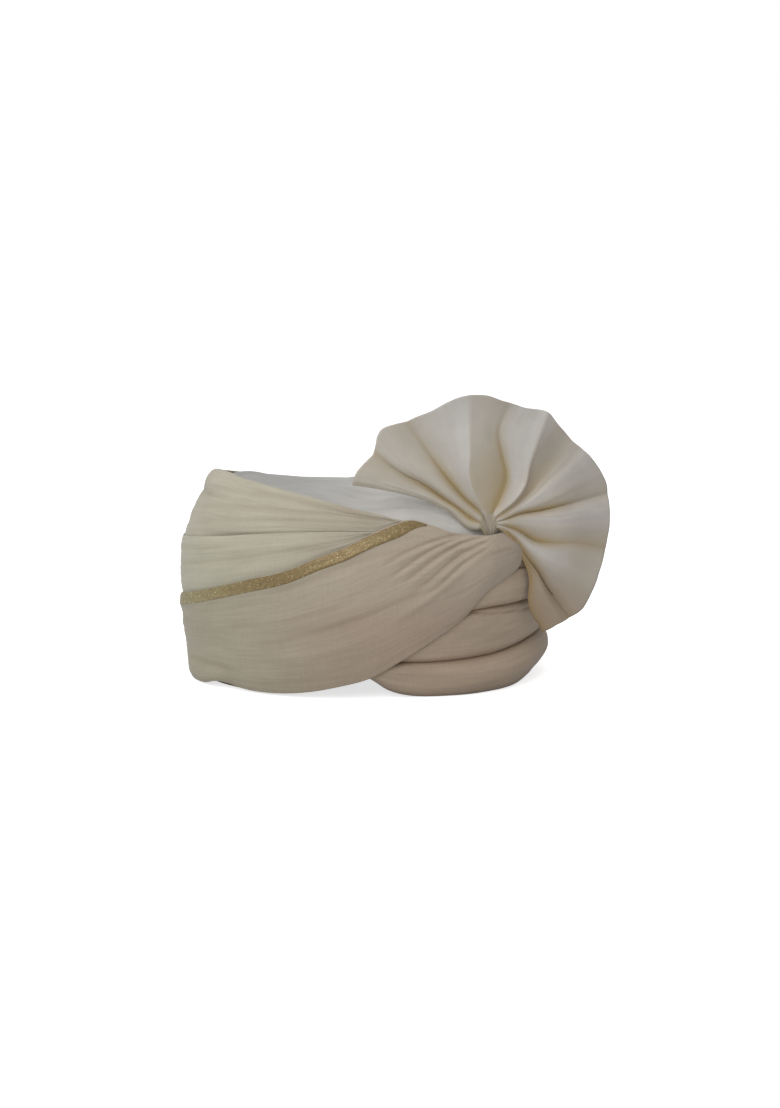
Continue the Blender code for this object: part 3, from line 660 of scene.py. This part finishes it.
def front_top(angle):
    """Its upper edge, from its table."""
    return ROLLS_HEIGHT * curve(FRONT_TOP, angle)


def brow_low(angle):
    """The brow cloth starts OVERLAP under the front cloth's edge."""
    return front_top(angle) - OVERLAP


def brow_top(angle):
    """Its upper edge, from its table but never under half an OVERLAP from the lower."""
    return np.maximum(ROLLS_HEIGHT * curve(BROW_TOP, angle), brow_low(angle) + OVERLAP / 2)


def crest_low(angle):
    """The crest starts under the brow cloth's edge and, past that cloth's end, under the front cloth's."""
    by_brow = brow_top(angle) - OVERLAP * (1 - 0.6 * ease(angle, -30, -18))
    past_brow = ease(angle, BROW_END, BROW_END + 6)
    return by_brow * (1 - past_brow) + brow_low(angle) * past_brow


def crest_top(angle):
    """Its standing edge, from its table, with the same least width."""
    return np.maximum(CREST_HEIGHT * curve(CREST_EDGE, angle), crest_low(angle) + OVERLAP / 2)


def lip(angle, height):
    """The front cloth's lift over the fan's neck: it grows towards the knot and stays to the cloth's end."""
    across = 1 - ease(KNOT_ANGLE - angle, 2.0, 14.0)
    return LIP_BULGE * across * ease(height, 0.070, 0.1085)


def lower_left_corner(angle, height):
    """A small outward roll at the front cloth's foot near the forehead."""
    return 0.0052 * ease(angle, -92, -68) * (1 - ease(angle, -55, -47)) * (1 - ease(height, 0.003, 0.024))


def over_forehead(angle):
    """1 round the forehead's near side, where the crest leans in."""
    return ease(angle, -155, -115) * (1 - ease(angle, -52, -22))


def lean_in(angle, height):
    """The crest lies flatter over the forehead, and its top rolls out again."""
    rolled = 0.0052 * ease(angle, -135, -100) * (1 - ease(angle, -66, -44)) * ease(height, 0.134, 0.147)
    return rolled - 0.0026 * over_forehead(angle) * ease(height, 0.102, 0.113)


def none(angle, height=0.0):
    """0 at every angle."""
    return 0.0 * angle


def even(value):
    """The same value at every angle."""
    return lambda angle: value + 0 * angle


# Each cloth's edges, where it ends by the knot, how full it is, its grid, its noise's seed, its folds, its
# folded edges' radii, where it lies over the next cloth, its lift, and its width under the cloth below it
CLOTHS = {
    "front": {"low": front_low, "high": front_top, "last": FRONT_END, "full": 0.0033,
              "rows": 84, "columns": 400, "seed": 21, "folds": FRONT_FOLDS,
              "low_edge": lambda a: 0.0007 - 0.0004 * ease(a, 24, 38), "high_edge": even(0.0006),
              "over": even(1), "lift": lambda a, h: lip(a, h) + lower_left_corner(a, h), "tucked": none},
    "brow": {"low": brow_low, "high": brow_top, "last": BROW_END, "full": 0.0026,
             "rows": 52, "columns": 280, "seed": 31, "folds": BROW_FOLDS,
             "low_edge": even(0.00045), "high_edge": even(0.0006),
             "over": even(1), "lift": none, "tucked": even(OVERLAP)},
    "crest": {"low": crest_low, "high": crest_top, "last": CREST_END, "full": 0.0031,
              "rows": 60, "columns": 300, "seed": 41, "folds": CREST_FOLDS, "low_edge": even(0.00045),
              "high_edge": lambda a: 0.0011 + 0.0011 * ease(a, -130, -75) * (1 - ease(a, -45, -15)),
              "over": none, "lift": lean_in,
              "tucked": lambda a: np.maximum(OVERLAP * (1 - 0.6 * ease(a, -30, -18)),
                                             front_top(a) - crest_low(a))},
}


def under_side(cloth, angle, height, high):
    """How far the cloth's inner side stands off the rolls: REST, and more over the cloth that it covers."""
    over_next = 0.0010 * cloth["over"](angle) * ease(height, high - 1.7 * OVERLAP, high - OVERLAP)
    return REST + over_next + cloth["lift"](angle, height)


def upper_side(cloth, angle, height):
    """How far its outer side stands off them: two layers at the folded edges, fuller and creased between."""
    low, high = cloth["low"](angle), cloth["high"](angle)
    tucked = cloth["tucked"](angle)
    bare = np.maximum(high - low - tucked, 1e-5)
    inside = np.clip((height - low - tucked) / bare, 0, 1)
    body = np.minimum(1.0, bare / (4 * OVERLAP)) * (1 - np.abs(2 * inside - 1) ** 4)
    along, seed = run(angle), cloth["seed"]
    streaks = (noise(along * 16 + 40, inside * 16 + 7, seed) * 0.26
               + noise(along * 34 + 60, inside * 40 + 3, seed + 1) * 0.13
               + noise(along * 9 + 30, inside * 3 + 11, seed + 2) * 0.50
               + noise(along * 120 + 90, height * 120 + 17, seed + 3) * 0.07) * 0.001
    shown = ease(inside, 0.0, 0.06) * (1 - ease(inside, 0.97, 1.0))
    relief = (fold_relief(cloth["folds"], angle, height) + streaks) * shown
    layers = 2 * (cloth["low_edge"](angle) * (1 - inside) + cloth["high_edge"](angle) * inside)
    return under_side(cloth, angle, height, high) + layers + body * (cloth["full"] - layers) + relief


def far_end_shift(angle, height):
    """Slants the cloths' far ends: degrees added to the angle near their end, more the higher the place."""
    return 9.0 * (height - 0.085) / 0.04 * (1 - ease(angle, CLOTHS_END + 2, CLOTHS_END + 26))


def spread_angles(first, last, count):
    """Angles that lie 2.3 times as close together from -30 degrees to the knot as before -60."""
    fine = np.linspace(first, last, 4000)
    weight = np.cumsum(1 + 1.3 * ease(fine, -60, -30))
    return np.interp(np.linspace(weight[0], weight[-1], count), weight, fine)


def drawn_cloth(key):
    """A cloth folded over at both edges.

    The grid runs down the foot's inner margin, round the lower fold, up the outer side, round the upper fold
    and down the top's inner margin. The folds are half circles whose radius is the cloth's edge. Both ends
    close as quarter circles.
    """
    cloth = CLOTHS[key]
    angle = spread_angles(CLOTHS_END, cloth["last"], cloth["columns"])[None, :]
    low, high = cloth["low"](angle), cloth["high"](angle)
    low_edge, high_edge = cloth["low_edge"](angle), cloth["high_edge"](angle)
    far, near = run(angle) - run(CLOTHS_END), run(cloth["last"]) - run(angle)
    close = np.sqrt(1 - (1 - np.clip(np.minimum(far / FAR_END_ROUND, near / NEAR_END_ROUND), 0, 1)) ** 2)
    share = np.linspace(0, 1, cloth["rows"])[:, None]
    share = share - 0.06 * np.sin(2 * math.pi * share)
    height = (low + low_edge) + share * (high - low - low_edge - high_edge)
    out = REST + (upper_side(cloth, angle, height) - REST) * (0.12 + 0.88 * close)
    bend = np.linspace(0, math.pi, 8)[1:, None]
    top_height = high - high_edge + high_edge * np.sin(bend)
    top_out = out[-1:] - high_edge * (1 - np.cos(bend)) * close
    bottom_height = low + low_edge - low_edge * np.sin(bend[::-1])
    bottom_out = out[:1] - low_edge * (1 - np.cos(bend[::-1])) * close
    margin = np.linspace(0, 1, 6)[1:, None]
    turned = np.minimum(HEM_MARGIN, 0.3 * (high - low))
    inner_height = (high - high_edge) - margin * turned
    inner_rest = np.minimum(under_side(cloth, angle, inner_height, high), top_out[-1:])
    inner_out = top_out[-1:] + margin * (inner_rest - top_out[-1:])
    foot_height = (low + low_edge) + margin[::-1] * turned
    foot_rest = np.minimum(under_side(cloth, angle, foot_height, high), bottom_out[:1])
    foot_out = bottom_out[:1] + margin[::-1] * (foot_rest - bottom_out[:1])
    heights = np.concatenate([foot_height, bottom_height, height, top_height, inner_height])
    outs = np.concatenate([foot_out, bottom_out, out, top_out, inner_out])
    points = wall(angle + far_end_shift(angle, heights), heights, outs)
    steps = np.linalg.norm(np.diff(points, axis=0), axis=-1)
    down = np.concatenate([[0], np.cumsum(np.percentile(steps, 70, axis=1))])
    uv = on_grid(run(angle), down[:, None] + cloth["seed"] * 0.13)
    # Painted shade: the cloth is darker and warmer in its folds' grooves.
    grooves = np.clip(-fold_relief(cloth["folds"], angle, heights) / 0.0012, 0, 1)
    painted_light = painted_light_along(key, points)
    if key == "front":
        painted_light = painted_light * painted_light_under_knot(angle, heights)
    piece = add_grid(key + "_drawn_cloth", points, uv, painted_light, 0.45 * grooves)
    thicken(piece, CREAM_THICKNESS)
    return finish_piece(piece, CREAM, "cream_cloth", key + "_cloth")


def make_border():
    """The gold border: a strip just clear of the front cloth's upper edge, narrowing to its end."""
    cloth = CLOTHS["front"]
    angle = spread_angles(CLOTHS_END + 7.5, BORDER_END + 1.5, 420)[None, :]
    left = ease(BORDER_END + 4.5 - angle, 0, 13)
    high = front_top(angle) - 0.00045
    low = high - BORDER_WIDTH * left
    share = np.linspace(0, 1, 14)[:, None]
    height = low + share * (high - low)
    rounded = 0.00012 * (1 - np.abs(2 * share - 1) ** 6)
    out = upper_side(cloth, angle, np.minimum(height, front_top(angle) - 0.0006)) + 0.0002 + rounded
    points = wall(angle + far_end_shift(angle, height), height, out)
    uv = on_grid(run(angle), share * BORDER_WIDTH)
    piece = add_grid("gold_woven_border", points, uv, painted_light_along("border", points))
    thicken(piece, BORDER_THICKNESS)
    return finish_piece(piece, GOLD, "gold_border", "gold_border")


def crest_stands(angle):
    """The crest's edge height at any angle of a turn, and how far it stands up there, from 0 to 1."""
    at = np.where(angle > CLOTHS_END + 360, angle - 360, angle)
    edge = np.where(at <= CREST_END, crest_top(at), ROLLS_HEIGHT)
    return edge, ease(edge, ROLLS_HEIGHT + 0.002, ROLLS_HEIGHT + 0.014)


def make_crown():
    """The satin crown: rings drawn in from the wall by the section's curve, with soft folds from the knot.

    Beside the crest it swells up to just under the crest's edge. Its foot turns down into the top roll's
    crease, and beside the knot it reaches further down, under the front cloth.
    """
    rings, stations = 76, 360
    share = np.linspace(0, 1, rings)[:, None] ** 1.4
    section_in, section_up = np.array(CROWN_SECTION).T
    spacing = np.concatenate([[0], np.cumsum(np.hypot(np.diff(section_in), 0.25 * np.diff(section_up)))])
    spacing /= spacing[-1]
    inward = curve(list(zip(spacing, section_in)), share)
    rise = np.clip(curve(list(zip(spacing, section_up)), share), 0, 1)
    angle = np.linspace(-180, 180, stations, endpoint=False)[None, :]
    foot = ROLLS_HEIGHT + GAP
    edge, stands = crest_stands(angle)
    level = CROWN_HEIGHT + 0.0012 + (edge - 0.0010 - CROWN_HEIGHT) * stands * (1 - ease(inward, 0.10, 0.85))
    height = foot + rise ** (1 - 0.62 * stands) * (level - foot)
    beside_knot = ease(angle, 8, 16) * (1 - ease(angle, 50, 60))
    skirt = np.linspace(1, 0, 7)[:-1, None]
    skirt_height = foot - (0.0015 + 0.0095 * beside_knot) * skirt
    skirt_out = 0.0012 * beside_knot - 0.0035 * (1 - beside_knot) * skirt ** 2
    hem = wall(angle, skirt_height, skirt_out) - CENTRE
    brim = 0.0012 * beside_knot * (1 - ease(inward, 0, 0.1))
    half_width = BODY_WIDTH / 2 - tuck(height) + brim
    half_length = BODY_LENGTH / 2 - tuck(height) + brim
    reach = np.clip(inward, 0, 0.99) * half_width
    turn = np.radians(angle)
    shrink = np.clip((inward - 0.55) / 0.45, 0, 1) ** 2
    x = (half_length - reach * (1 + shrink * (half_length / half_width - 1))) * np.sin(turn)
    y = -(half_width - reach) * np.cos(turn)
    knot = wall(np.array([KNOT_ANGLE]), KNOT_HEIGHT, 0.0)[0] - CENTRE
    far = np.hypot(x - knot[0], y - knot[1])
    bearing = np.degrees(np.arctan2(y - knot[1], x - knot[0]))
    pleats = np.sin(np.radians(bearing * 13)) * 0.6 + np.sin(np.radians(bearing * 29 + 40)) * 0.4
    fade = ease(far, 0.004, 0.03) * np.exp(-((far / 0.10) ** 2))
    lumps = noise(x * 26 + 40, y * 26 + 40, 51) * 0.9
    z = height + (pleats * fade * 2.0 + lumps) * 0.001 * ease(inward, 0.0, 0.1)
    points = np.concatenate([hem, on_grid(x, y, z)]) + CENTRE
    uv = points[..., :2].copy()
    uv[:len(hem), :, 1] += skirt_height - foot
    uv = np.concatenate([uv, uv[:, :1]], axis=1)
    piece = add_grid("satin_crown", points, uv, painted_light_along("crown", points), wrap_columns=True, cap=True)
    thicken(piece, SATIN_THICKNESS)
    return finish_piece(piece, SATIN, "satin_cloth", "crown_cloth")


def make_fan():
    """The fan: columns follow the fold lines, rows go out from the knot.

    Between two folds the cloth rises by a square where one is sharp and the other round, by a line or a low
    power between two sharp ones and by a cubic between two round ones. Below the knot each column bends down
    into the neck.
    """
    across_count, rows = 20, 96
    turn, lean = math.radians(FAN_TURN), math.radians(FAN_LEAN)
    across = np.array([math.cos(turn), math.sin(turn), 0.0])
    facing = np.array([math.sin(turn) * math.cos(lean), -math.cos(turn) * math.cos(lean), math.sin(lean)])
    up = np.cross(facing, across)
    knot = wall(np.array([KNOT_ANGLE]), KNOT_HEIGHT, 0.0)[0] + facing * FAN_STAND_OFF
    reach_share = np.linspace(0, 1, rows)[:, None] ** 1.25
    root = NECK_ROOT / FAN_RADIUS
    distance = root + (1.08 - root) * reach_share[:, 0]
    bearings, rises = (np.stack([curve(list(zip(FAN_DISTANCES, row[k])), distance) for row in FAN_FOLDS],
                                axis=1) for k in (0, 1))
    step = np.linspace(0, 1, across_count, endpoint=False)[None, :]
    bearing, rise, spot, crease_shade = [], [], [], []
    for k in range(len(FAN_FOLDS) - 1):
        left, right = FAN_FOLDS[k][2], FAN_FOLDS[k + 1][2]
        falling = sum(FAN_FOLDS[k + 1][1]) < sum(FAN_FOLDS[k][1])
        if left and not right:
            blend = 1 - (1 - step) ** 2
        elif right and not left:
            blend = step ** 2
        elif left and right:
            blend = step if falling else step ** 1.3
        else:
            blend = step * step * (3 - 2 * step)
        bearing.append(bearings[:, k:k + 1] * (1 - step) + bearings[:, k + 1:k + 2] * step)
        rise.append(rises[:, k:k + 1] * (1 - blend) + rises[:, k + 1:k + 2] * blend)
        spot.append(k + step[0])
        # Painted shade across each panel, deepest beside its lower fold.
        if falling:
            crease_shade.append(0.55 + 0.45 * step[0] if left else step[0] ** 1.1)
        else:
            crease_shade.append(0.5 * (1 - step[0]) ** 3 if left else 0.8 * (1 - step[0]))
    bearing = np.concatenate(bearing + [bearings[:, -1:]], axis=1)
    rise = np.concatenate(rise + [rises[:, -1:]], axis=1)
    spot = np.concatenate(spot + [[len(FAN_FOLDS) - 1.0]])
    crease_shade = np.concatenate(crease_shade + [[0.3]])
    rim = np.interp(bearing[-1], *np.array(FAN_RIM).T)
    rim = np.convolve(np.pad(rim, 2, mode="edge"), np.ones(5) / 5, mode="valid")
    out = NECK_ROOT + (FAN_RADIUS * rim[None, :] - NECK_ROOT) * reach_share
    ripple = sum(noise(spot[None, :] * a + b, out * c + d, seed) * size
                 for a, b, c, d, seed, size in FAN_RIPPLES)
    ripple = ripple * ease(out, 0.012, 0.05)
    x = out * np.cos(np.radians(bearing))
    y = out * np.sin(np.radians(bearing))
    wrap = np.where(x > 0, FAN_WRAP * x * ease(x, 0.0, 0.3 * FAN_RADIUS), 0.0)
    lift = (rise + ripple) * 0.001 - wrap
    sector = knot + x[..., None] * across + y[..., None] * up + lift[..., None] * facing
    # The neck: straight rows on the wall, then a cubic to the fan's root whose ends follow both
    side = spot / spot[-1] - 0.5
    around = math.degrees(NECK_WIDTH / math.hypot(BODY_LENGTH / 2, BODY_WIDTH / 2)) * math.sqrt(2)
    gather = 0.0009 * np.cos(spot * math.pi)
    neck_angle = KNOT_ANGLE + around * side

    def neck_row(part):
        height = KNOT_HEIGHT - NECK_LENGTH * part
        stand = REST + NECK_DEPTH / 2 + (FAN_STAND_OFF - NECK_DEPTH) * 0.5 * (1 - part)
        return wall(neck_angle, height, stand + gather)

    straight = [neck_row(part) for part in np.linspace(1.0, 0.62, 8)]
    start, end = straight[-1], sector[0]
    start_way = (straight[-1] - straight[-2]) * 10
    end_way = (sector[1] - sector[0])
    end_way = end_way / np.linalg.norm(end_way, axis=1, keepdims=True) * 0.007
    bends = []
    for s in np.linspace(0, 1, 12)[1:-1]:
        bends.append(start * (1 + 2 * s) * (1 - s) ** 2 + end * s * s * (3 - 2 * s)
                     + start_way * s * (1 - s) ** 2 - end_way * s * s * (1 - s))
    points = np.concatenate([np.stack(straight), np.stack(bends), sector])
    neck_rows = len(straight) + len(bends)
    flow = np.concatenate([np.linspace(-0.02, 0.0, neck_rows, endpoint=False), out.mean(axis=1)])
    uv = on_grid(flow[:, None], spot * 0.011)
    # Painted shade of the panels, weaker outwards, and a little more near the knot.
    hollows = crease_shade[None, :] * (0.80 - 0.55 * ease(out, 0.026, 0.080)) + 0.10 * (1 - ease(out, 0.010, 0.030))
    # Painted shade: warm dark lines along the deep sharp valleys, fading outwards.
    lines = np.zeros(out.shape)
    for k, (_, heights, sharp) in enumerate(FAN_FOLDS):
        if sharp and min(heights) < -1.2:
            off = np.radians(bearing - bearings[:, k:k + 1]) * out
            lines = np.maximum(lines, np.exp(-(off / 0.0034) ** 2))
    lines = lines * (0.50 - 0.34 * ease(out, 0.036, 0.080)) * ease(out, 0.006, 0.016)
    # Painted shade on the last strip by the lower edge and, towards the rim, on the lower right.
    strip = 0.40 * ease(spot, len(FAN_FOLDS) - 3.2, len(FAN_FOLDS) - 2.6)[None, :]
    strip = strip + 0.26 * ease(out, 0.056, 0.078) * ease(-bearing, 2, 12) * (1 - strip)
    neck_shade = np.full((neck_rows, len(spot)), 0.45)
    # Painted light and shade on the fan: factors by bearing, and 11 % darker towards the rim below bearing
    # 50.
    painted_light_bearings, *factors = np.array(FAN_PAINTED_LIGHT).T
    tone = np.stack([np.interp(bearing, painted_light_bearings, factor) for factor in factors], axis=-1)
    tone = tone * (1 - 0.11 * ease(out, 0.050, 0.078) * (1 - ease(bearing, 50, 58)))[..., None]
    tone = np.concatenate([np.repeat(tone[:1], neck_rows, axis=0), tone])
    shade = np.concatenate([neck_shade, hollows + lines + strip])
    piece = add_grid("pleated_fan_cloth", points, uv, tone, shade)
    thicken(piece, SATIN_THICKNESS, 0.0)
    return finish_piece(piece, SATIN, "satin_cloth", "pleated_fan")


def make_studio():
    """A broad pale floor, an even white surround, a soft light from the upper left and one from above."""
    mesh = bpy.data.meshes.new("floor")
    corners = [(x * FLOOR_HALF, y * FLOOR_HALF, -FLOOR_DROP) for x, y in ((-1, -1), (1, -1), (1, 1), (-1, 1))]
    mesh.from_pydata(corners, [], [(0, 1, 2, 3)])
    floor = bpy.data.objects.new("floor", mesh)
    bpy.context.scene.collection.objects.link(floor)
    paper, tree, shader = new_material("floor_paper")
    set_values(shader, Base_Color=(0.70, 0.70, 0.70, 1.0), Roughness=0.9, Specular_IOR_Level=0.1,
               Emission_Color=(1.0, 1.0, 1.0, 1.0))
    path = tree.nodes.new("ShaderNodeLightPath")
    fill(tree, shader, "Emission Strength", math_node(tree, "MULTIPLY", path.outputs["Is Camera Ray"], 0.72))
    mesh.materials.append(paper)

    world = bpy.data.worlds.new("studio")
    bpy.context.scene.world = world
    world.use_nodes = True
    tree = world.node_tree
    lighting, seen = tree.nodes["Background"], tree.nodes.new("ShaderNodeBackground")
    set_values(lighting, Color=(0.97, 0.985, 1.0, 1.0), Strength=0.45)
    set_values(seen, Color=(1.0, 1.0, 1.0, 1.0), Strength=1.0)
    path = tree.nodes.new("ShaderNodeLightPath")
    mix = tree.nodes.new("ShaderNodeMixShader")
    for k, source in enumerate((path.outputs["Is Camera Ray"], lighting.outputs[0], seen.outputs[0])):
        fill(tree, mix, k, source)
    fill(tree, tree.nodes["World Output"], 0, mix.outputs[0])

    for name, (place, power, size, colour) in LIGHTS.items():
        data = bpy.data.lights.new(name, "AREA")
        data.energy, data.size, data.color = power, size, colour
        lamp = bpy.data.objects.new(name, data)
        bpy.context.scene.collection.objects.link(lamp)
        lamp.location = place
        aim = np.array([0.0, 0.0, 0.08]) - np.array(place)
        pitch = math.acos(-aim[2] / np.linalg.norm(aim))
        lamp.rotation_euler = (pitch, 0.0, math.atan2(aim[1], aim[0]) - math.pi / 2)


def make_camera():
    """Looks at the body from the measured elevation and distance, with the sensor's long side upright."""
    data = bpy.data.cameras.new("photo_camera")
    data.sensor_fit = "VERTICAL"
    data.sensor_height = CAMERA_SENSOR_MM
    data.lens = CAMERA_LENS_MM
    data.clip_end = 60.0
    camera = bpy.data.objects.new("photo_camera", data)
    bpy.context.scene.collection.objects.link(camera)
    tilt = math.radians(CAMERA_ELEVATION)
    back = np.array([0.0, -math.cos(tilt), math.sin(tilt)])
    camera.location = CENTRE + np.array(CAMERA_TARGET) + back * CAMERA_DISTANCE
    camera.rotation_euler = (math.pi / 2 - tilt, 0.0, 0.0)
    bpy.context.scene.camera = camera


bpy.context.scene.view_settings.view_transform = "Standard"
make_camera()
make_studio()
rolls = make_rolls()
front = drawn_cloth("front")
brow = drawn_cloth("brow")
crest = drawn_cloth("crest")
border = make_border()
crown = make_crown()
fan = make_fan()
